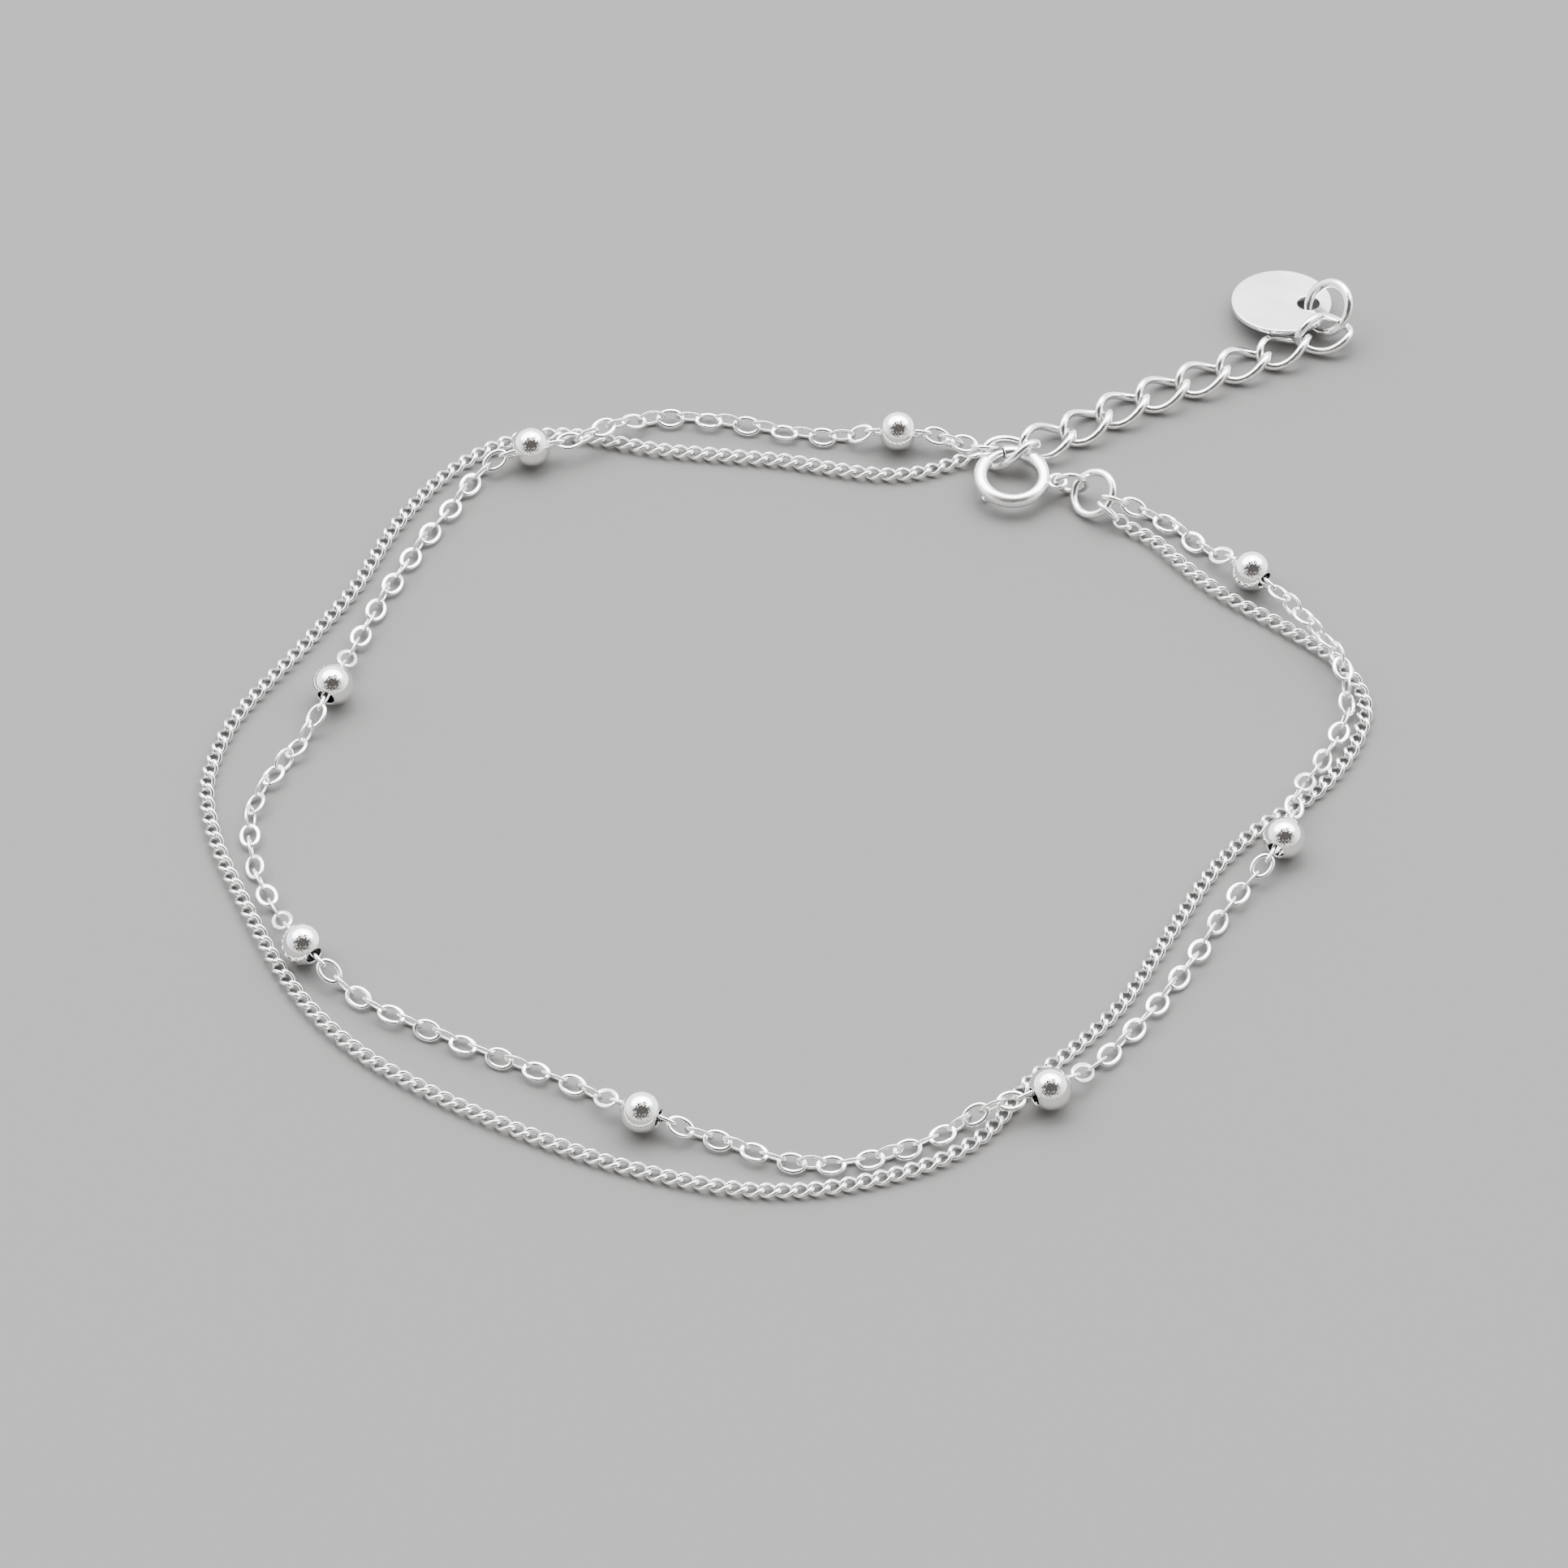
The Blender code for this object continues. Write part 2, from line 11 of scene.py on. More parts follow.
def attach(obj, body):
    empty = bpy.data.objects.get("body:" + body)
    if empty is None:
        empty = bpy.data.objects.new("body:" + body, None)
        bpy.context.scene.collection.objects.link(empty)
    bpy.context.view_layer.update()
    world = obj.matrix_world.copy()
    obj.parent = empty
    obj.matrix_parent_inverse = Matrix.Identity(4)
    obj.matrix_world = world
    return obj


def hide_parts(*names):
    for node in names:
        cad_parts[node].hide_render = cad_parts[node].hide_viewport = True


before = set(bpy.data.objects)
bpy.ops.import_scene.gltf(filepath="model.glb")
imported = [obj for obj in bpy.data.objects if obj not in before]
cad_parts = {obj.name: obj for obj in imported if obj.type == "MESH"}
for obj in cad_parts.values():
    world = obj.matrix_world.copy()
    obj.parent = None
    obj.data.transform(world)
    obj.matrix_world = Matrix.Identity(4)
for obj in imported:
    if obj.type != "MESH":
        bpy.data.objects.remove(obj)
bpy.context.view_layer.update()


# Silver finish
# Every piece is bare sterling silver. Each has its own polish, but all of them carry the same fine
# marks of handling: hairline scratches and a faint uneven haze.

MM = 0.001

HAZE_DETAIL = 4.0
HAZE_FROM, HAZE_TO = 0.35, 0.7
TARNISH_FROM, TARNISH_TO = 0.55, 0.75
HAIRLINE_STRETCH = (1.0, 9.0, 5.0)
HAIRLINE_TURN = (0.4, 0.2, 0.7)
HAIRLINE_DETAIL = 6.0
HAIRLINE_ROUGHNESS = 0.7
HAIRLINE_STRENGTH = 0.35
BRIGHT_SILVER = (0.97, 0.965, 0.955, 1.0)
DULLED_SILVER = (0.88, 0.865, 0.84, 1.0)
SHARP_ANGLE = radians(50)


def handling_marks():
    """A shader group: how rough the haze is, a height for the hairlines, and where the silver is dulled."""
    group = bpy.data.node_groups.new("handling_marks", "ShaderNodeTree")
    for name in ("Haze Size", "Scratch Size", "Smooth", "Hazy"):
        group.interface.new_socket(name, in_out="INPUT", socket_type="NodeSocketFloat")
    for name in ("Roughness", "Height", "Tarnish"):
        group.interface.new_socket(name, in_out="OUTPUT", socket_type="NodeSocketFloat")
    nodes, links = group.nodes, group.links
    inputs = nodes.new("NodeGroupInput")
    outputs = nodes.new("NodeGroupOutput")
    place = nodes.new("ShaderNodeTexCoord")

    haze = nodes.new("ShaderNodeTexNoise")
    haze.inputs["Detail"].default_value = HAZE_DETAIL
    links.new(place.outputs["Object"], haze.inputs["Vector"])
    links.new(inputs.outputs["Haze Size"], haze.inputs["Scale"])

    spread = nodes.new("ShaderNodeMapRange")
    spread.inputs["From Min"].default_value = HAZE_FROM
    spread.inputs["From Max"].default_value = HAZE_TO
    links.new(haze.outputs["Fac"], spread.inputs["Value"])
    links.new(inputs.outputs["Smooth"], spread.inputs["To Min"])
    links.new(inputs.outputs["Hazy"], spread.inputs["To Max"])

    stretch = nodes.new("ShaderNodeMapping")
    stretch.inputs["Scale"].default_value = HAIRLINE_STRETCH
    stretch.inputs["Rotation"].default_value = HAIRLINE_TURN
    links.new(place.outputs["Object"], stretch.inputs["Vector"])
    scratches = nodes.new("ShaderNodeTexNoise")
    scratches.inputs["Detail"].default_value = HAIRLINE_DETAIL
    scratches.inputs["Roughness"].default_value = HAIRLINE_ROUGHNESS
    links.new(stretch.outputs["Vector"], scratches.inputs["Vector"])
    links.new(inputs.outputs["Scratch Size"], scratches.inputs["Scale"])

    tarnish = nodes.new("ShaderNodeMapRange")
    tarnish.inputs["From Min"].default_value = TARNISH_FROM
    tarnish.inputs["From Max"].default_value = TARNISH_TO
    links.new(haze.outputs["Fac"], tarnish.inputs["Value"])

    links.new(spread.outputs["Result"], outputs.inputs["Roughness"])
    links.new(scratches.outputs["Fac"], outputs.inputs["Height"])
    links.new(tarnish.outputs["Result"], outputs.inputs["Tarnish"])
    return group


HANDLING_MARKS = handling_marks()


def silver(name, smooth, hazy, haze_size, scratch_size, scratch_depth=0.004 * MM):
    """Bare silver, polished to the given smoothness, with its own marks of handling."""
    material = bpy.data.materials.new(name)
    material.use_nodes = True
    nodes, links = material.node_tree.nodes, material.node_tree.links
    shader = nodes["Principled BSDF"]
    shader.inputs["Metallic"].default_value = 1.0
    marks = nodes.new("ShaderNodeGroup")
    marks.node_tree = HANDLING_MARKS
    marks.inputs["Smooth"].default_value = smooth
    marks.inputs["Hazy"].default_value = hazy
    marks.inputs["Haze Size"].default_value = haze_size
    marks.inputs["Scratch Size"].default_value = scratch_size
    links.new(marks.outputs["Roughness"], shader.inputs["Roughness"])

    colour = nodes.new("ShaderNodeMix")
    colour.data_type = "RGBA"
    colour.inputs["A"].default_value = BRIGHT_SILVER
    colour.inputs["B"].default_value = DULLED_SILVER
    links.new(marks.outputs["Tarnish"], colour.inputs["Factor"])
    links.new(colour.outputs["Result"], shader.inputs["Base Color"])

    bump = nodes.new("ShaderNodeBump")
    bump.inputs["Strength"].default_value = HAIRLINE_STRENGTH
    bump.inputs["Distance"].default_value = scratch_depth
    links.new(marks.outputs["Height"], bump.inputs["Height"])
    links.new(bump.outputs["Normal"], shader.inputs["Normal"])
    return material


def new_piece(name, mesh, material, body, slot, *replaced):
    """A finished piece that rides on its body in place of the nodes it replaces."""
    mesh.materials.append(material)
    piece = bpy.data.objects.new(name, mesh)
    bpy.context.scene.collection.objects.link(piece)
    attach(piece, body)
    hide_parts(*replaced)


def finished_mesh(name, shape):
    """Turn a bmesh into a mesh with its faces out, smooth but for its sharp edges."""
    bmesh.ops.recalc_face_normals(shape, faces=shape.faces)
    mesh = bpy.data.meshes.new(name)
    shape.to_mesh(mesh)
    shape.free()
    mesh.shade_smooth()
    mesh.set_sharp_from_angle(angle=SHARP_ANGLE)
    return mesh


def add_tube(shape, grid, closed=True):
    """Add a tube to a bmesh from a grid of points, row by row, closed on itself or with two ends."""
    rows = [[shape.verts.new(point) for point in row] for row in grid]
    followers = rows[1:] + (rows[:1] if closed else [])
    for row, after in zip(rows, followers):
        for k in range(len(row)):
            m = (k + 1) % len(row)
            shape.faces.new((row[k], row[m], after[m], after[k]))
    if not closed:
        shape.faces.new(rows[0])
        shape.faces.new(rows[-1])


def grid_mesh(name, grids, closed=True):
    """A mesh of one tube for each grid."""
    shape = bmesh.new()
    for grid in grids:
        add_tube(shape, grid, closed)
    return finished_mesh(name, shape)


# Curb chain
# The strand without beads is a fine curb chain: oval links of round wire, each twisted so that they all
# lie flat in each other, closed and soldered by machine. It runs from the end link at the extender to the
# one at the jump ring.

# How far the traced places are moved to bring the middle of the anklet to the frame's origin.
CENTRE_SHIFT = Vector((0.29, -0.27, 0.0)) * MM

CURB_PITCH = 1.12 * MM
CURB_HALF_LENGTH = 0.74 * MM
CURB_HALF_WIDTH = 0.445 * MM
CURB_WIRE = 0.155 * MM
CURB_TWIST = radians(68)
CURB_SWAYS = [
    {"angle": radians(5), "pace": 0.37, "start": 0.0},
    {"angle": radians(4), "pace": 0.91, "start": 1.0},
]
CURB_ROUTE = [
    (0.0121, 0.02385, 0.0006), (0.0098, 0.0229, 0.00052), (-0.0025, 0.0241, 0.00052),
    (-0.0098, 0.0249, 0.00052), (-0.02, 0.0263, 0.00052), (-0.0232, 0.0249, 0.00052),
    (-0.0264, 0.0222, 0.00052), (-0.0296, 0.0176, 0.00052), (-0.0326, 0.0111, 0.00052),
    (-0.0359, 0.006, 0.00052), (-0.0413, -0.0028, 0.00052),
    (-0.0422, -0.0073, 0.00052), (-0.0415, -0.0112, 0.00052), (-0.0387, -0.0181, 0.00052),
    (-0.0367, -0.0223, 0.00052), (-0.0343, -0.0262, 0.00052), (-0.0304, -0.0304, 0.00052),
    (-0.0259, -0.0335, 0.00052), (-0.0189, -0.0372, 0.00052), (-0.0118, -0.0401, 0.00052),
    (-0.0007, -0.0421, 0.00052), (0.0054, -0.0411, 0.00052), (0.0101, -0.0393, 0.00052),
    (0.0124, -0.0377, 0.00052), (0.0143, -0.0354, 0.00052), (0.0157, -0.0331, 0.00052),
    (0.0178, -0.0313, 0.00052), (0.0217, -0.0273, 0.00052), (0.0264, -0.0195, 0.00052),
    (0.0296, -0.0142, 0.00052), (0.0324, -0.0111, 0.00052), (0.0371, -0.0074, 0.00052),
    (0.0398, -0.0035, 0.00052), (0.0409, 0.0006, 0.00052), (0.0397, 0.0037, 0.00052),
    (0.0355, 0.0076, 0.00052), (0.0308, 0.0111, 0.00052), (0.0276, 0.0144, 0.00052),
    (0.0262, 0.0161, 0.00052), (0.02405, 0.0175, 0.0006),
]

# Where each end of the chain hangs in its end link.
CURB_FIRST_HOLD = (0.01304, 0.02406, 0.00068)
CURB_LAST_HOLD = (0.0234, 0.01797, 0.00088)

# A link closer to the floor than the reach is lowered on to it, but never by more than the most.
CLEAR_OF_FLOOR = 0.01 * MM
FLOOR_REACH = 0.5 * MM
MOST_SINK = 0.12 * MM


def level_or_steady(before, after):
    """The climb at a route point: none at a high or low point, so that the chain never dips below it."""
    return 0.0 if before * after <= 0.0 else 2.0 * before * after / (before + after)


def smooth_route(points, steps=24):
    """A smooth curve through the route's points, as many short steps."""
    points = [Vector(p) for p in points]
    spans = [(b - a).length for a, b in zip(points, points[1:])]
    slopes = [(points[1] - points[0]) / spans[0]]
    for i in range(1, len(points) - 1):
        before = (points[i] - points[i - 1]) / spans[i - 1]
        after = (points[i + 1] - points[i]) / spans[i]
        slope = (before * spans[i] + after * spans[i - 1]) / (spans[i - 1] + spans[i])
        slope.z = level_or_steady(before.z, after.z)
        slopes.append(slope)
    slopes.append((points[-1] - points[-2]) / spans[-1])
    curve = []
    for i, span in enumerate(spans):
        for step in range(steps):
            t = step / steps
            curve.append(
                points[i] * (2 * t**3 - 3 * t**2 + 1)
                + slopes[i] * span * (t**3 - 2 * t**2 + t)
                + points[i + 1] * (3 * t**2 - 2 * t**3)
                + slopes[i + 1] * span * (t**3 - t**2)
            )
    return curve + [points[-1]]


class Path:
    """A curve that can be read at any distance along it."""

    def __init__(self, points):
        self.points = np.array(points)
        steps = np.linalg.norm(np.diff(self.points, axis=0), axis=1)
        self.reached = np.concatenate([[0.0], np.cumsum(steps)])
        self.length = self.reached[-1]

    def at(self, distance):
        """The point that far along; beyond an end the curve runs on straight."""
        if distance < 0.0 or distance > self.length:
            end, before = (0, 1) if distance < 0.0 else (-1, -2)
            way = self.points[end] - self.points[before]
            over = -distance if distance < 0.0 else distance - self.length
            return self.points[end] + way / np.linalg.norm(way) * over
        return np.array([np.interp(distance, self.reached, self.points[:, k]) for k in range(3)])


def wire_loop(half_length, half_width, wire, rows, sides, twist=0.0, flatness=1.0):
    """An oval loop of wire about its own middle, twisted along its length, as a grid of points."""
    def centre(turn):
        lean = -twist * cos(turn)
        across = half_width * sin(turn)
        return Vector((half_length * cos(turn), across * cos(lean), across * sin(lean)))

    nudge = 0.01
    grid = np.zeros((rows, sides, 3))
    for i in range(rows):
        turn = 2 * pi * i / rows
        middle = centre(turn)
        along = (centre(turn + nudge) - centre(turn - nudge)).normalized()
        outward = (middle - along * middle.dot(along)).normalized()
        upward = along.cross(outward)
        for k in range(sides):
            angle = 2 * pi * k / sides
            grid[i, k] = middle + outward * wire * cos(angle) + upward * wire * flatness * sin(angle)
    return grid


def link_axes(along, roll):
    """A link's own axes: X along the chain, then rolled about it from lying flat."""
    x = Vector(along).normalized()
    z = Vector((0.0, 0.0, 1.0))
    z = (z - x * z.dot(x)).normalized()
    y = z.cross(x)
    turned = y * cos(roll) + z * sin(roll)
    return np.array((x, turned, x.cross(turned)))


def laid_link(grid, path, middle, half_length, roll):
    """A link laid with both ends on the chain's path, and brought to the floor if that is near."""
    tail, head = path.at(middle - half_length), path.at(middle + half_length)
    laid = grid @ link_axes(head - tail, roll) + (tail + head) / 2
    drop = laid[..., 2].min() - CLEAR_OF_FLOOR
    laid[..., 2] -= min(drop, MOST_SINK) if drop < FLOOR_REACH else 0.0
    return laid


def curb_chain():
    """All the links between the two holds, evenly spaced, each one swaying a little."""
    route = [Vector(CURB_FIRST_HOLD)] + [Vector(p) for p in CURB_ROUTE] + [Vector(CURB_LAST_HOLD)]
    path = Path([p + CENTRE_SHIFT for p in smooth_route(route)])
    base = wire_loop(CURB_HALF_LENGTH, CURB_HALF_WIDTH, CURB_WIRE, rows=28, sides=12, twist=CURB_TWIST)
    spare = path.length - 2 * CURB_HALF_LENGTH
    count = round(spare / CURB_PITCH) + 1
    grids = []
    for i in range(count):
        middle = CURB_HALF_LENGTH + i * spare / (count - 1)
        roll = sum(sway["angle"] * sin(i * sway["pace"] + sway["start"]) for sway in CURB_SWAYS)
        grids.append(laid_link(base, path, middle, CURB_HALF_LENGTH, roll))
    return grid_mesh("curb_chain_links", grids)


CURB_SILVER = silver("curb_silver", smooth=0.12, hazy=0.26, haze_size=500.0, scratch_size=1500.0)
new_piece("curb_chain_links", curb_chain(), CURB_SILVER, "anklet", "curb_chain_silver", "curb_chain")


# Beaded chain
# The other strand is a fine cable chain of oval links, flattened by rolling, each one a quarter turn from
# the next. A longer link goes through the bore of each bead and holds a small link at each mouth.

TRACE_PITCH = 1.42 * MM
TRACE_HALF_LENGTH = 0.9 * MM
TRACE_HALF_WIDTH = 0.61 * MM
TRACE_WIRE = 0.17 * MM
TRACE_FLATNESS = 0.62
THROUGH_HALF_LENGTH = 2.4 * MM
THROUGH_HALF_WIDTH = 0.36 * MM
THROUGH_FLATNESS = 0.9
BEAD_RADIUS = 1.5 * MM
BEADS = [
    {"x": 7.5, "y": 25.9, "heading": 176},
    {"x": -19.8, "y": 24.3, "heading": 195},
    {"x": -33.5, "y": 1.4, "heading": 250},
    {"x": -34.5, "y": -22.0, "heading": 309},
    {"x": -10.7, "y": -36.3, "heading": 335},
    {"x": 17.2, "y": -34.4, "heading": 30},
    {"x": 34.3, "y": -12.6, "heading": 60},
    {"x": 33.2, "y": 12.2, "heading": 133},
]
BEAD_ROUTE = [
    [(0.0124, 0.02505, 0.00095)],
    [(0.0035, 0.026, 0.0006), (-0.0122, 0.0274, 0.0007), (-0.0138, 0.0265, 0.00175),
     (-0.0162, 0.0248, 0.0017)],
    [(-0.023, 0.023, 0.0008), (-0.0254, 0.0194, 0.0006), (-0.0295, 0.0121, 0.0006),
     (-0.0322, 0.0054, 0.0008)],
    [(-0.0354, -0.0028, 0.0007), (-0.0388, -0.0093, 0.0006), (-0.0385, -0.014, 0.0006),
     (-0.0366, -0.0186, 0.0008)],
    [(-0.031, -0.0256, 0.0007), (-0.0228, -0.0301, 0.0006), (-0.014, -0.0343, 0.0008)],
    [(-0.0068, -0.0376, 0.0007), (0.0008, -0.0401, 0.0006), (0.0096, -0.0377, 0.0006),
     (0.0116, -0.0364, 0.0007), (0.013, -0.0358, 0.0014), (0.0144, -0.0354, 0.00165)],
    [(0.0206, -0.0317, 0.0007), (0.0265, -0.0242, 0.0006), (0.0313, -0.0165, 0.0008)],
    [(0.0351, -0.0096, 0.00165), (0.0374, -0.0052, 0.0008), (0.0395, -0.0005, 0.0008),
     (0.0391, 0.0039, 0.0017), (0.0373, 0.007, 0.0016)],
    [(0.0304, 0.0145, 0.0007), (0.027, 0.0178, 0.0006), (0.02465, 0.01875, 0.00115)],
]
BEAD_CHAIN_FIRST_HOLD = (0.01331, 0.0248, 0.00093)
BEAD_CHAIN_LAST_HOLD = (0.024, 0.01885, 0.00143)

# How far over every second link lies in each stretch, in degrees; the links between them stand across it.
# Along a stretch the lean sways to and fro, but not at its ends.
STRETCH_LEANS = (-14, -10, -18, 16, 14, 10, 18, 20, -15)
STRETCH_SWAY = radians(14)
STRETCH_SWAY_PACE = 1.7
STRETCH_STEADY_LINKS = 3


def bead_middle(bead):
    return Vector((bead["x"] * MM, bead["y"] * MM, BEAD_RADIUS))


def bead_direction(bead):
    return Vector((cos(radians(bead["heading"])), sin(radians(bead["heading"])), 0.0))


def bead_chain_path():
    """The chain's way through every bore, and how far along it each bead's middle lies."""
    mouths = []
    for bead in BEADS:
        reach = bead_direction(bead) * BEAD_RADIUS
        mouths.append((bead_middle(bead) - reach, bead_middle(bead) + reach))
    route = [Vector(BEAD_CHAIN_FIRST_HOLD)]
    for i, stretch in enumerate(BEAD_ROUTE):
        route += [mouths[i - 1][1]] if i > 0 else []
        route += [Vector(p) for p in stretch]
        route += [mouths[i][0]] if i < len(BEADS) else []
    route.append(Vector(BEAD_CHAIN_LAST_HOLD))
    path = Path([p + CENTRE_SHIFT for p in smooth_route(route)])
    stops = []
    for bead in BEADS:
        offsets = np.linalg.norm(path.points - np.array(bead_middle(bead) + CENTRE_SHIFT), axis=1)
        stops.append(path.reached[offsets.argmin()])
    return path, stops


def odd_count(length, pitch):
    """The odd number of links that fits best, so that the first and the last one lie the same way."""
    return 2 * max(0, round((length / pitch) / 2)) + 1


def bead_chain():
    """The long links through the beads, then the small links of each stretch between them."""
    path, stops = bead_chain_path()
    small = wire_loop(TRACE_HALF_LENGTH, TRACE_HALF_WIDTH, TRACE_WIRE, rows=30, sides=12,
                      flatness=TRACE_FLATNESS)
    through = wire_loop(THROUGH_HALF_LENGTH, THROUGH_HALF_WIDTH, TRACE_WIRE, rows=40, sides=12,
                        flatness=THROUGH_FLATNESS)
    reach = THROUGH_HALF_LENGTH - TRACE_HALF_LENGTH + TRACE_PITCH
    starts = [TRACE_HALF_LENGTH] + [stop + reach for stop in stops]
    ends = [stop - reach for stop in stops] + [path.length - TRACE_HALF_LENGTH]
    grids = []
    for stop, lean, next_lean in zip(stops, STRETCH_LEANS, STRETCH_LEANS[1:]):
        roll = radians((lean + next_lean) / 2 + 90)
        grids.append(laid_link(through, path, stop, THROUGH_HALF_LENGTH, roll))
    for stretch, (start, end) in enumerate(zip(starts, ends)):
        count = odd_count(end - start, TRACE_PITCH)
        for i in range(count):
            middle = start + (end - start) * i / max(1, count - 1)
            freedom = min(1.0, i / STRETCH_STEADY_LINKS, (count - 1 - i) / STRETCH_STEADY_LINKS)
            sway = STRETCH_SWAY * sin(i * STRETCH_SWAY_PACE + stretch) * freedom
            roll = radians(STRETCH_LEANS[stretch]) + sway + (pi / 2 if i % 2 else 0.0)
            grids.append(laid_link(small, path, middle, TRACE_HALF_LENGTH, roll))
    return grid_mesh("bead_chain_links", grids)


TRACE_SILVER = silver("bead_chain_silver", smooth=0.1, hazy=0.24, haze_size=500.0, scratch_size=1500.0)
new_piece("bead_chain_links", bead_chain(), TRACE_SILVER, "anklet", "bead_chain_silver", "bead_chain")


# Beads
# Eight round beads are drawn from thin silver tube and polished bright, with a soft rolled edge round each
# mouth.

BEAD_BORE_RADIUS = 0.62 * MM
BEAD_LIP = 0.08 * MM
BEAD_SIDES = 56
BEAD_LIP_STEPS = 6
BEAD_BALL_STEPS = 28
BEAD_BORE_STEPS = 7
BEAD_SPIN = radians(47.0)
BEAD_SILVER = silver("bead_polish", smooth=0.03, hazy=0.09, haze_size=350.0, scratch_size=1200.0,
                     scratch_depth=0.002 * MM)


def bead_mesh():
    """A ball drilled through along X: its outline from mouth to mouth and back, turned about the bore."""
    lip_reach = BEAD_BORE_RADIUS + BEAD_LIP
    lip_middle = Vector((((BEAD_RADIUS - BEAD_LIP) ** 2 - lip_reach**2) ** 0.5, lip_reach))
    meeting = asin(lip_reach / (BEAD_RADIUS - BEAD_LIP))
    side = []
    for step in range(BEAD_LIP_STEPS + 1):
        angle = radians(270) + (pi - meeting) * step / BEAD_LIP_STEPS
        side.append((lip_middle.x + BEAD_LIP * cos(angle), lip_middle.y + BEAD_LIP * sin(angle)))
    outer = []
    for step in range(1, BEAD_BALL_STEPS):
        angle = (pi / 2 - meeting) * (1 - 2 * step / BEAD_BALL_STEPS)
        outer.append((BEAD_RADIUS * sin(angle), BEAD_RADIUS * cos(angle)))
    other_side = [(-x, r) for x, r in reversed(side)]
    inner = []
    for step in range(1, BEAD_BORE_STEPS):
        inner.append((lip_middle.x * (2 * step / BEAD_BORE_STEPS - 1), BEAD_BORE_RADIUS))
    outline = side + outer + other_side + inner
    turns = np.linspace(0.0, 2 * pi, BEAD_SIDES, endpoint=False)
    grid = np.array([[(x, r * cos(turn), r * sin(turn)) for x, r in outline] for turn in turns])
    return grid_mesh("bead", [grid])


for number, bead in enumerate(BEADS, 1):
    mesh = bead_mesh()
    spin = Matrix.Rotation(BEAD_SPIN * number, 4, "X")
    mesh.transform(Matrix.Translation(bead_middle(bead) + CENTRE_SHIFT)
                   @ Matrix.Rotation(radians(bead["heading"]), 4, "Z") @ spin)
    new_piece(f"bead_{number}_polished", mesh, BEAD_SILVER, "anklet", "bead_silver", f"bead_{number}")


# End links and extender
# Each end of each chain hangs in one small link of round wire, on the jump ring or on the extender's first
# link. The extender is a short length of large curb chain, and the clasp can close on any link of it.

EXTENDER_HALF_LENGTH = 2.07 * MM
EXTENDER_HALF_WIDTH = 1.33 * MM
EXTENDER_WIRE = 0.31 * MM
EXTENDER_TWIST = radians(50)
END_LINK_HALF_LENGTH = 0.95 * MM
END_LINK_HALF_WIDTH = 0.62 * MM
END_LINK_WIRE = 0.18 * MM
END_LINKS = {
    "strand_end_right_1": {"x": 23.43, "y": 18.92, "z": 1.62, "heading": -7, "rise": -18, "roll": -53},
    "strand_end_right_2": {"x": 22.96, "y": 18.29, "z": 1.12, "heading": -36, "rise": -24, "roll": -46},
    "strand_end_left_1": {"x": 13.96, "y": 24.74, "z": 0.93, "heading": 175, "rise": 0, "roll": 45.5},
    "strand_end_left_2": {"x": 13.61, "y": 24.23, "z": 0.66, "heading": 196.5, "rise": 2, "roll": 44.5},
}
EXTENDER = [
    {"x": 15.87, "y": 24.22, "z": 1.21, "heading": 2, "rise": 18, "roll": -13},
    {"x": 18.66, "y": 25.38, "z": 1.03, "heading": 23, "rise": -1, "roll": 8.5},
    {"x": 21.58, "y": 27.12, "z": 0.89, "heading": 34, "rise": -1, "roll": 1},
    {"x": 24.38, "y": 28.85, "z": 0.87, "heading": 29, "rise": 0, "roll": 0},
    {"x": 27.44, "y": 30.41, "z": 0.87, "heading": 27, "rise": 0, "roll": 0},
    {"x": 30.54, "y": 31.89, "z": 0.87, "heading": 25, "rise": 0, "roll": 0},
    {"x": 33.66, "y": 33.33, "z": 0.87, "heading": 24, "rise": 0, "roll": 0},
    {"x": 36.75, "y": 34.75, "z": 0.9, "heading": 28, "rise": 2.5, "roll": -6},
    {"x": 39.76, "y": 35.79, "z": 1.42, "heading": 14.5, "rise": -3, "roll": 39},
]
EXTENDER_SILVER = silver("extender_silver", smooth=0.08, hazy=0.2, haze_size=350.0, scratch_size=1000.0)
END_LINK_SILVER = silver("end_link_silver", smooth=0.1, hazy=0.22, haze_size=400.0, scratch_size=1200.0)


def resting_place(spot):
    """Where a piece lies, and which way it is turned, as one matrix."""
    turn = (Matrix.Rotation(radians(spot["heading"]), 4, "Z")
            @ Matrix.Rotation(-radians(spot["rise"]), 4, "Y")
            @ Matrix.Rotation(radians(spot["roll"]), 4, "X"))
    return Matrix.Translation(Vector((spot["x"], spot["y"], spot["z"])) * MM + CENTRE_SHIFT) @ turn


def loop_piece(node, spot, material, slot, half_length, half_width, wire, twist=0.0, rows=56, sides=18):
    """A finished ring or link of round wire in its resting place."""
    loop = wire_loop(half_length, half_width, wire, rows, sides, twist)
    mesh = grid_mesh(f"{node}_wire", [loop])
    mesh.transform(resting_place(spot))
    new_piece(f"{node}_wire", mesh, material, "anklet", slot, node)


for node, spot in END_LINKS.items():
    loop_piece(node, spot, END_LINK_SILVER, "end_link_silver", END_LINK_HALF_LENGTH, END_LINK_HALF_WIDTH,
               END_LINK_WIRE, rows=40, sides=14)
for number, spot in enumerate(EXTENDER, 1):
    loop_piece(f"extender_link_{number}", spot, EXTENDER_SILVER, "extender_silver", EXTENDER_HALF_LENGTH,
               EXTENDER_HALF_WIDTH, EXTENDER_WIRE, EXTENDER_TWIST)


# Rings
# Three closed rings of round wire: a small one through the clasp's eye, a larger one that both chains end
# on, and the one that carries the tag.

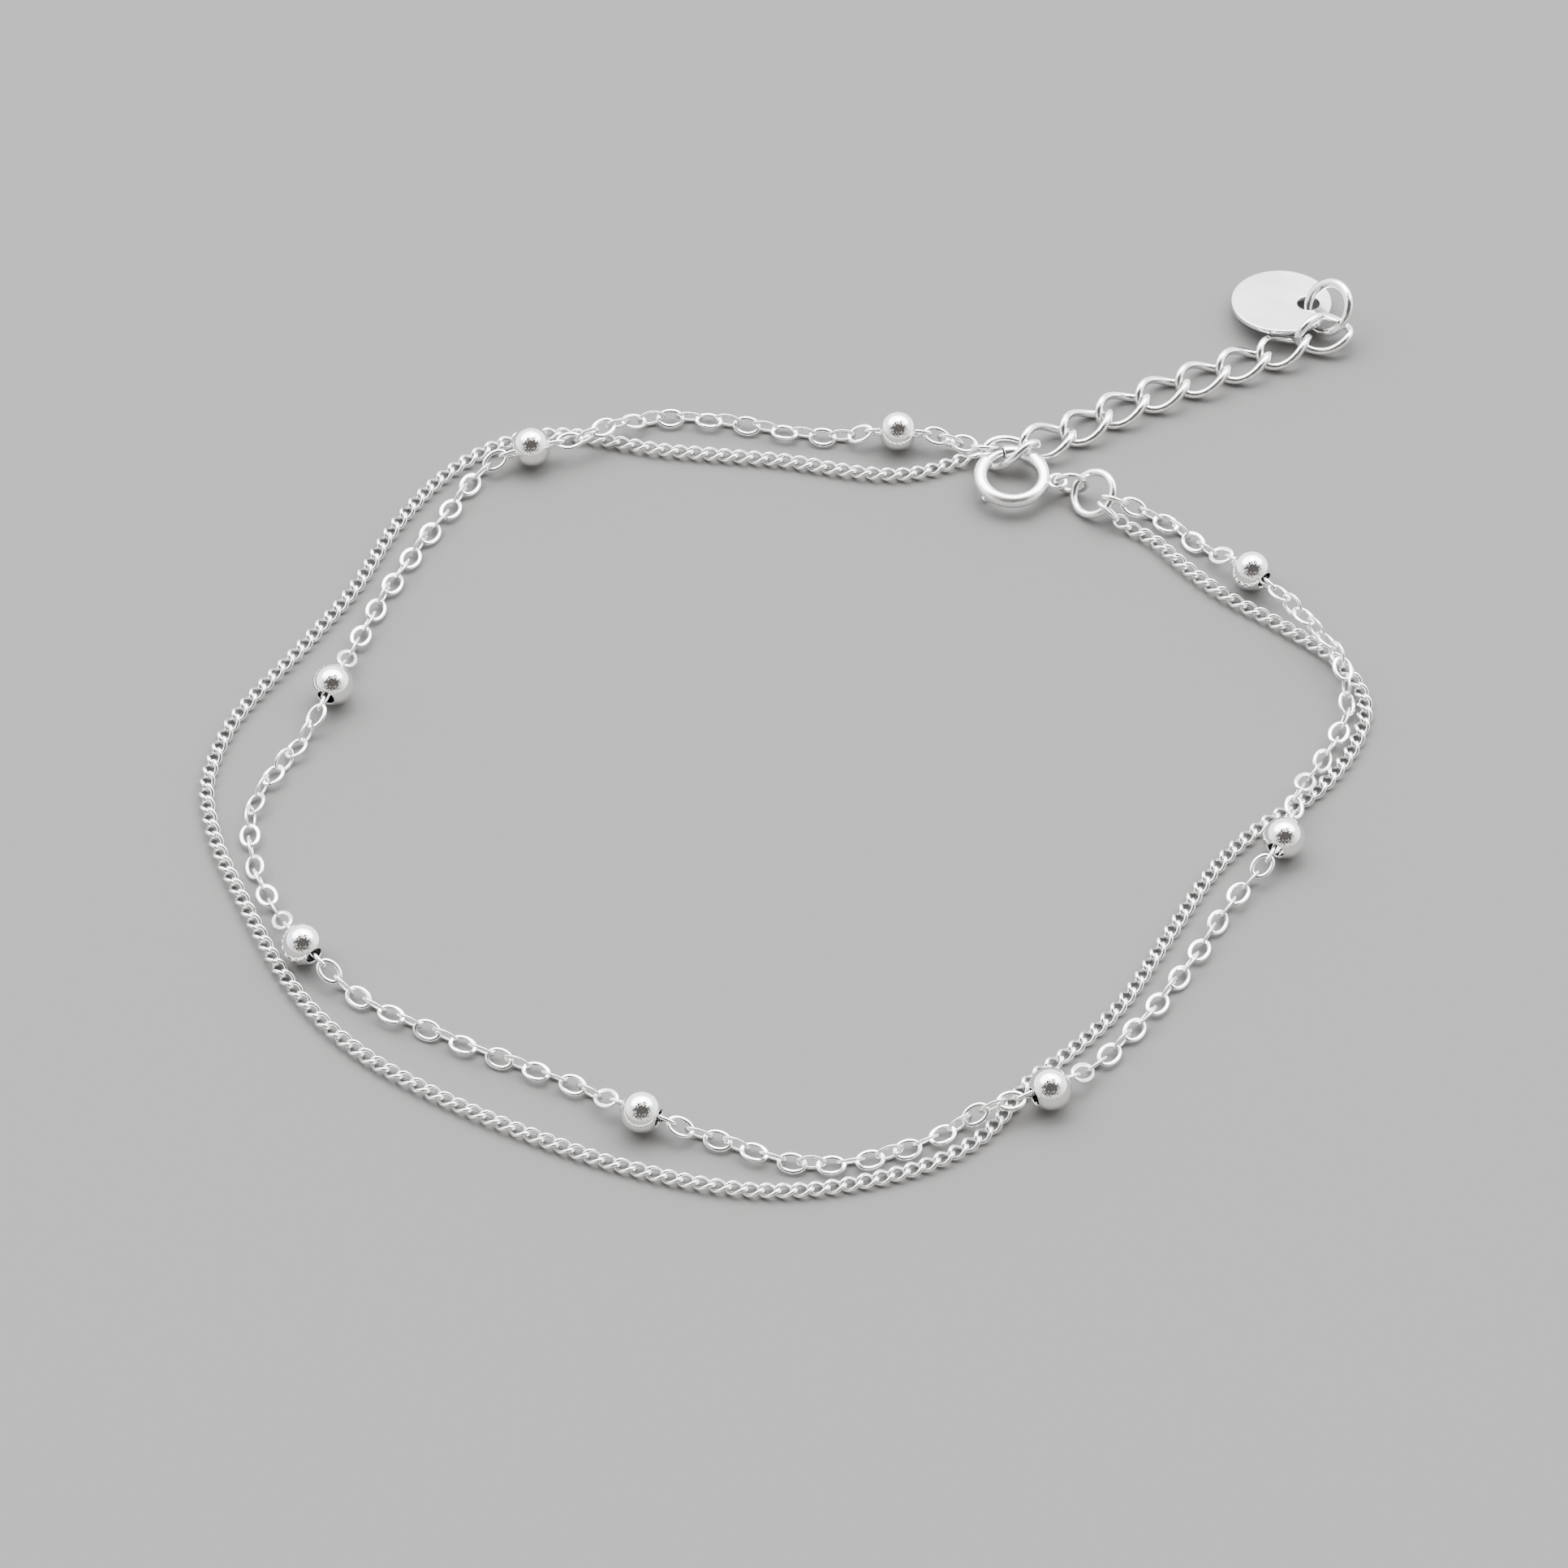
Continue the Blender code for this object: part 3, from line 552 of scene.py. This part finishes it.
RING_SILVER = silver("ring_silver", smooth=0.07, hazy=0.18, haze_size=350.0, scratch_size=1000.0)
RINGS = {
    "clasp_eye_ring": {"x": 20.28, "y": 20.79, "z": 1.36, "heading": -12, "rise": 31, "roll": 103,
                       "radius": 1.12, "wire": 0.22},
    "jump_ring": {"x": 21.87, "y": 19.82, "z": 1.34, "heading": -36, "rise": 12, "roll": 35,
                  "radius": 1.62, "wire": 0.3},
    "tag_ring": {"x": 40.21, "y": 38.03, "z": 1.89, "heading": 0, "rise": 44.5, "roll": 23,
                 "radius": 1.9, "wire": 0.35},
}
for node, ring in RINGS.items():
    loop_piece(node, ring, RING_SILVER, "ring_silver", ring["radius"] * MM, ring["radius"] * MM,
               ring["wire"] * MM)


# Clasp
# A spring ring: a bright tube bent into a ring with a mouth, a small eye soldered to its side, and a sprung
# tongue that slides in the tube and is pulled back by the knob that hangs out of the slot under it.

CLASP_PLACE = {"x": 15.9, "y": 21.5, "z": 1.32, "raised_side": 95, "tilt": 1.5}
CLASP_RADIUS = 2.35 * MM
CLASP_TUBE = 0.52 * MM
CLASP_BORE = 0.38 * MM
CLASP_TONGUE = 0.27 * MM
CLASP_SECTORS = 24
CLASP_MOUTH = (radians(104), radians(140))
CLASP_SLOT = (radians(205), radians(258))
CLASP_SLOT_HALF = radians(22.5)
CLASP_STEPS = {"to_slot": 22, "slot": 18, "to_mouth": 70}
CLASP_EDGE = 0.05 * MM
CLASP_EYE_ANGLE = radians(-8)
CLASP_EYE_RADIUS = 0.62 * MM
CLASP_EYE_WIRE = 0.17 * MM
CLASP_EYE_REACH = 3.38 * MM
TONGUE_TIP = radians(101.5)
TONGUE_TAIL = radians(222)
TONGUE_STEPS = 44
TONGUE_TIP_STEPS = 5
TONGUE_TIP_ROUNDING = 0.94
TONGUE_SIDES = 16
KNOB_ANGLE = radians(212)
KNOB_LEAN = radians(270)
KNOB_NECK = (0.44 * MM, 0.16 * MM)
KNOB_NECK_TOP = 0.95 * MM
KNOB_CENTRE = 1.0 * MM
KNOB_RADII = (0.32 * MM, 0.26 * MM, 0.18 * MM)
KNOB_ROWS = 14
KNOB_SIDES = 24
CLASP_SILVER = silver("clasp_polish", smooth=0.16, hazy=0.3, haze_size=350.0, scratch_size=1000.0)


def tilted_place(spot):
    """Where a flat piece lies with one side raised, as one matrix."""
    side = radians(spot["raised_side"])
    turn = Matrix.Rotation(radians(spot["tilt"]), 4, Vector((sin(side), -cos(side), 0.0)))
    return Matrix.Translation(Vector((spot["x"], spot["y"], spot["z"])) * MM + CENTRE_SHIFT) @ turn


def on_clasp(turn, lean, reach):
    """A point of the clasp's tube: how far round the ring, which way out of its middle, how far."""
    outward = Vector((cos(turn), sin(turn), 0.0))
    return outward * (CLASP_RADIUS + reach * cos(lean)) + Vector((0.0, 0.0, reach * sin(lean)))


def clasp_turns():
    """Steps round the tube, with one at each end of the slot and a short one at each softened mouth."""
    first, last = CLASP_MOUTH[1], 2 * pi + CLASP_MOUTH[0]
    soft = CLASP_EDGE / CLASP_RADIUS
    stretches = (
        (first + soft, CLASP_SLOT[0], CLASP_STEPS["to_slot"]),
        (CLASP_SLOT[0], CLASP_SLOT[1], CLASP_STEPS["slot"]),
        (CLASP_SLOT[1], last - soft, CLASP_STEPS["to_mouth"]),
    )
    turns = [first]
    for start, end, steps in stretches:
        turns += [start + (end - start) * step / steps for step in range(steps)]
    return turns + [last - soft, last]


def clasp_ring_mesh():
    """The tube's wall as small cells without those of the slot, and the eye on its side."""
    turns = clasp_turns()
    leans = [2 * pi * (k - 0.5) / CLASP_SECTORS for k in range(CLASP_SECTORS)]
    ring = bmesh.new()
    inner, outer = [], []
    for i, turn in enumerate(turns):
        soft = CLASP_EDGE if i in (0, len(turns) - 1) else 0.0
        inner.append([ring.verts.new(on_clasp(turn, lean, CLASP_BORE)) for lean in leans])
        outer.append([ring.verts.new(on_clasp(turn, lean, CLASP_TUBE - soft)) for lean in leans])
    sides = []
    for i in range(len(turns) - 1):
        j = i + 1
        in_slot = CLASP_SLOT[0] <= (turns[i] + turns[j]) / 2 <= CLASP_SLOT[1]
        for k in range(CLASP_SECTORS):
            m = (k + 1) % CLASP_SECTORS
            if in_slot and abs(2 * pi * k / CLASP_SECTORS - KNOB_LEAN) < CLASP_SLOT_HALF:
                continue
            a, b, c, d = inner[i][k], inner[i][m], outer[i][m], outer[i][k]
            e, f, g, h = inner[j][k], inner[j][m], outer[j][m], outer[j][k]
            sides += [(a, b, c, d), (e, f, g, h), (a, b, f, e), (d, c, g, h), (a, d, h, e), (b, c, g, f)]
    seen = {}
    for side in sides:
        seen.setdefault(frozenset(side), []).append(side)
    for copies in seen.values():
        if len(copies) == 1:
            ring.faces.new(copies[0])
    eye_middle = np.array((cos(CLASP_EYE_ANGLE), sin(CLASP_EYE_ANGLE), 0.0)) * CLASP_EYE_REACH
    eye = wire_loop(CLASP_EYE_RADIUS, CLASP_EYE_RADIUS, CLASP_EYE_WIRE, rows=44, sides=14)
    add_tube(ring, eye + eye_middle)
    return finished_mesh("clasp_ring", ring)


def tongue_mesh():
    """The rod with its rounded tip, and under it the neck and knob that the thumbnail pulls."""
    rounded_reach = CLASP_TONGUE / CLASP_RADIUS
    rounded_from = TONGUE_TIP + rounded_reach
    rod = []
    for step in range(TONGUE_STEPS + 1):
        rod.append((TONGUE_TAIL + (rounded_from - TONGUE_TAIL) * step / TONGUE_STEPS, CLASP_TONGUE))
    for step in range(1, TONGUE_TIP_STEPS + 1):
        share = sin(pi / 2 * TONGUE_TIP_ROUNDING * step / TONGUE_TIP_STEPS)
        rod.append((rounded_from - share * rounded_reach, CLASP_TONGUE * (1 - share**2) ** 0.5))
    leans = [2 * pi * k / TONGUE_SIDES for k in range(TONGUE_SIDES)]
    rod_grid = np.array([[on_clasp(turn, lean, reach) for lean in leans] for turn, reach in rod])

    outward = Vector((cos(KNOB_ANGLE), sin(KNOB_ANGLE), 0.0))
    along = Vector((-sin(KNOB_ANGLE), cos(KNOB_ANGLE), 0.0))
    up = outward * cos(KNOB_LEAN) + Vector((0.0, 0.0, sin(KNOB_LEAN)))
    across = up.cross(along)
    foot = outward * CLASP_RADIUS
    neck_half = along * KNOB_NECK[0] / 2, across * KNOB_NECK[1] / 2
    corners = ((1, 1), (-1, 1), (-1, -1), (1, -1))
    neck_grid = []
    for height in (0.0, KNOB_NECK_TOP):
        neck_grid.append([foot + neck_half[0] * x + neck_half[1] * y + up * height for x, y in corners])
    knob_grid = []
    for step in range(1, KNOB_ROWS):
        height = pi * (step / KNOB_ROWS - 0.5)
        middle = foot + up * (KNOB_CENTRE + KNOB_RADII[2] * sin(height))
        row = []
        for turn in np.linspace(0.0, 2 * pi, KNOB_SIDES, endpoint=False):
            side = along * KNOB_RADII[0] * cos(turn) + across * KNOB_RADII[1] * sin(turn)
            row.append(middle + side * cos(height))
        knob_grid.append(row)
    return grid_mesh("clasp_tongue", [rod_grid, neck_grid, knob_grid], closed=False)


CLASP_PIECES = (("clasp_ring", clasp_ring_mesh(), "anklet"), ("clasp_tongue", tongue_mesh(), "tongue"))
for node, mesh, body in CLASP_PIECES:
    mesh.transform(tilted_place(CLASP_PLACE))
    new_piece(f"{node}_polished", mesh, CLASP_SILVER, body, "clasp_silver", node)


# Tag
# A plain round disc stamped from flat silver sheet, with softened edges and a hole near its rim for the
# ring.

TAG_PLACE = {"x": 36.77, "y": 39.33, "z": 1.03, "raised_side": -86, "tilt": 9.6}
TAG_RADIUS = 3.8 * MM
TAG_THICKNESS = 0.4 * MM
TAG_HOLE_RADIUS = 0.85 * MM
TAG_HOLE_REACH = 2.05 * MM
TAG_HOLE_ANGLE = radians(-9.5)
TAG_EDGE = 0.08 * MM
TAG_EDGE_ROWS = 4
TAG_FLAT_FROM = TAG_EDGE * 1.5
TAG_SIDES = 120
TAG_SILVER = silver("tag_silver_sheet", smooth=0.14, hazy=0.26, haze_size=250.0, scratch_size=700.0)


def tag_mesh():
    """The sheet's cross-section from the hole's wall to the rim, carried round both circles at once.

    A last row on the flat, close to the edge, keeps the shading of the whole face flat.
    """
    hole_middle = Vector((cos(TAG_HOLE_ANGLE), sin(TAG_HOLE_ANGLE), 0.0)) * TAG_HOLE_REACH
    half = TAG_THICKNESS / 2
    angles = np.linspace(0.0, pi / 2, TAG_EDGE_ROWS)
    bevel = [(TAG_EDGE * (1 - cos(angle)), TAG_EDGE * (1 - sin(angle))) for angle in angles]
    bevel.append((TAG_FLAT_FROM, 0.0))
    rounded = [(inset, half - drop) for inset, drop in bevel]
    rounded = [(inset, -height) for inset, height in reversed(rounded)] + rounded
    up = Vector((0.0, 0.0, 1.0))
    grid = []
    for turn in np.linspace(0.0, 2 * pi, TAG_SIDES, endpoint=False):
        way = Vector((cos(turn), sin(turn), 0.0))
        wall = [hole_middle + way * (TAG_HOLE_RADIUS + inset) + up * height for inset, height in rounded]
        rim = [way * (TAG_RADIUS - inset) + up * height for inset, height in reversed(rounded)]
        grid.append(wall + rim)
    return grid_mesh("tag", [grid])


mesh = tag_mesh()
mesh.transform(tilted_place(TAG_PLACE))
new_piece("tag_disc_sheet", mesh, TAG_SILVER, "anklet", "tag_silver", "tag_disc")


# Floor, light and camera
# The anklet lies on a plain pale floor in soft daylight. The sky is white with a bright cloud high at the
# back, a large window lights from behind it, and the dark shape of the onlooker stands in front.

FLOOR_COLOUR = (0.193, 0.19, 0.185, 1.0)
FLOOR_ROUGHNESS = 0.85
FLOOR_SHEEN = 0.1
FLOOR_SIZE = 6.0


def floor():
    mesh = bmesh.new()
    bmesh.ops.create_grid(mesh, x_segments=1, y_segments=1, size=FLOOR_SIZE / 2)
    plane = bpy.data.meshes.new("floor")
    mesh.to_mesh(plane)
    mesh.free()
    material = bpy.data.materials.new("pale_floor")
    material.use_nodes = True
    shader = material.node_tree.nodes["Principled BSDF"]
    shader.inputs["Base Color"].default_value = FLOOR_COLOUR
    shader.inputs["Roughness"].default_value = FLOOR_ROUGHNESS
    shader.inputs["Specular IOR Level"].default_value = FLOOR_SHEEN
    plane.materials.append(material)
    ground = bpy.data.objects.new("floor", plane)
    bpy.context.scene.collection.objects.link(ground)


floor()

SKY_STRENGTH = 2.9
SKY_BACK = (0.95, 0.98, 1.03, 1.0)
SKY_FRONT = (0.45, 0.44, 0.425, 1.0)
SKY_TURN_FROM, SKY_TURN_TO = 0.3, -0.7
PATCH_NOISE_SCALE = 7.0
PATCH_NOISE_DETAIL = 4.0

# The two patches of the sky. Each has its middle at the back (1) or in front (-1) and so many degrees up.
# It is whole within some degrees of its middle and fades out to its end at others. A squeeze below 1 makes
# it wider from side to side, and raggedness frays its edge.
CLOUD = {
    "towards": 1, "elevation": 68, "whole_within": 23, "ends_at": 39, "squeeze": (0.55, 1.0, 1.0),
    "raggedness": 0.0, "colour": (3.7, 3.7, 3.74, 1.0),
}
ONLOOKER = {
    "towards": -1, "elevation": 57, "whole_within": 36, "ends_at": 50, "squeeze": (1.0, 1.0, 1.0),
    "raggedness": 1.3, "colour": (0.045, 0.042, 0.04, 1.0),
}


def sky_patch(nodes, links, place, patch):
    """How much of the patch there is in each direction, as a shader output."""
    elevation = radians(patch["elevation"])
    squeezed = nodes.new("ShaderNodeVectorMath")
    squeezed.operation = "MULTIPLY"
    squeezed.inputs[1].default_value = patch["squeeze"]
    links.new(place, squeezed.inputs[0])
    direction = nodes.new("ShaderNodeVectorMath")
    direction.operation = "NORMALIZE"
    links.new(squeezed.outputs["Vector"], direction.inputs[0])
    nearness = nodes.new("ShaderNodeVectorMath")
    nearness.operation = "DOT_PRODUCT"
    nearness.inputs[1].default_value = (0.0, patch["towards"] * cos(elevation), sin(elevation))
    links.new(direction.outputs["Vector"], nearness.inputs[0])

    ragged = nodes.new("ShaderNodeTexNoise")
    ragged.inputs["Scale"].default_value = PATCH_NOISE_SCALE
    ragged.inputs["Detail"].default_value = PATCH_NOISE_DETAIL
    links.new(place, ragged.inputs["Vector"])
    edge = nodes.new("ShaderNodeMath")
    edge.operation = "MULTIPLY_ADD"
    edge.inputs[1].default_value = patch["raggedness"]
    links.new(ragged.outputs["Fac"], edge.inputs[0])
    links.new(nearness.outputs["Value"], edge.inputs[2])

    mean_raggedness = patch["raggedness"] / 2
    inside = nodes.new("ShaderNodeMapRange")
    inside.interpolation_type = "SMOOTHSTEP"
    inside.inputs["From Min"].default_value = cos(radians(patch["ends_at"])) + mean_raggedness
    inside.inputs["From Max"].default_value = cos(radians(patch["whole_within"])) + mean_raggedness
    links.new(edge.outputs["Value"], inside.inputs["Value"])
    return inside.outputs["Result"]


def sky():
    """A white sky, darker in front, with the cloud and the onlooker laid over it."""
    world = bpy.data.worlds.new("daylight")
    bpy.context.scene.world = world
    world.use_nodes = True
    nodes, links = world.node_tree.nodes, world.node_tree.links
    background = nodes["Background"]
    place = nodes.new("ShaderNodeTexCoord").outputs["Generated"]

    split = nodes.new("ShaderNodeSeparateXYZ")
    links.new(place, split.inputs["Vector"])
    front = nodes.new("ShaderNodeMapRange")
    front.interpolation_type = "SMOOTHSTEP"
    front.inputs["From Min"].default_value = SKY_TURN_FROM
    front.inputs["From Max"].default_value = SKY_TURN_TO
    links.new(split.outputs["Y"], front.inputs["Value"])
    daylight = nodes.new("ShaderNodeMix")
    daylight.data_type = "RGBA"
    daylight.inputs["A"].default_value = SKY_BACK
    daylight.inputs["B"].default_value = SKY_FRONT
    links.new(front.outputs["Result"], daylight.inputs["Factor"])

    colour = daylight.outputs["Result"]
    for patch in (CLOUD, ONLOOKER):
        mixed = nodes.new("ShaderNodeMix")
        mixed.data_type = "RGBA"
        mixed.inputs["B"].default_value = patch["colour"]
        links.new(sky_patch(nodes, links, place, patch), mixed.inputs["Factor"])
        links.new(colour, mixed.inputs["A"])
        colour = mixed.outputs["Result"]
    links.new(colour, background.inputs["Color"])
    background.inputs["Strength"].default_value = SKY_STRENGTH


WINDOW_POWER = 5.0
WINDOW_SIZE = (0.5, 0.4)
WINDOW_ASIDE = 0.05
WINDOW_HEIGHT = radians(62)
WINDOW_DISTANCE = 1.2


def window_light():
    lamp = bpy.data.lights.new("window", "AREA")
    lamp.shape = "RECTANGLE"
    lamp.size, lamp.size_y = WINDOW_SIZE
    lamp.energy = WINDOW_POWER
    window = bpy.data.objects.new("window", lamp)
    way = Vector((WINDOW_ASIDE, cos(WINDOW_HEIGHT), sin(WINDOW_HEIGHT)))
    window.location = way * WINDOW_DISTANCE
    window.rotation_euler = (-window.location).to_track_quat("-Z", "Y").to_euler()
    bpy.context.scene.collection.objects.link(window)


sky()
window_light()

CAMERA_PLACE = (-0.00071, -0.27927, 0.3425)
CAMERA_DROP = radians(51.5)
CAMERA_LENS = 140.7
CAMERA_SENSOR = 36.0
CAMERA_NEAREST = 0.01

camera_data = bpy.data.cameras.new("camera")
camera_data.lens = CAMERA_LENS
camera_data.sensor_width = CAMERA_SENSOR
camera_data.clip_start = CAMERA_NEAREST
camera = bpy.data.objects.new("camera", camera_data)
camera.location = CAMERA_PLACE
camera.rotation_euler = (pi / 2 - CAMERA_DROP, 0.0, 0.0)
bpy.context.scene.collection.objects.link(camera)
bpy.context.scene.camera = camera
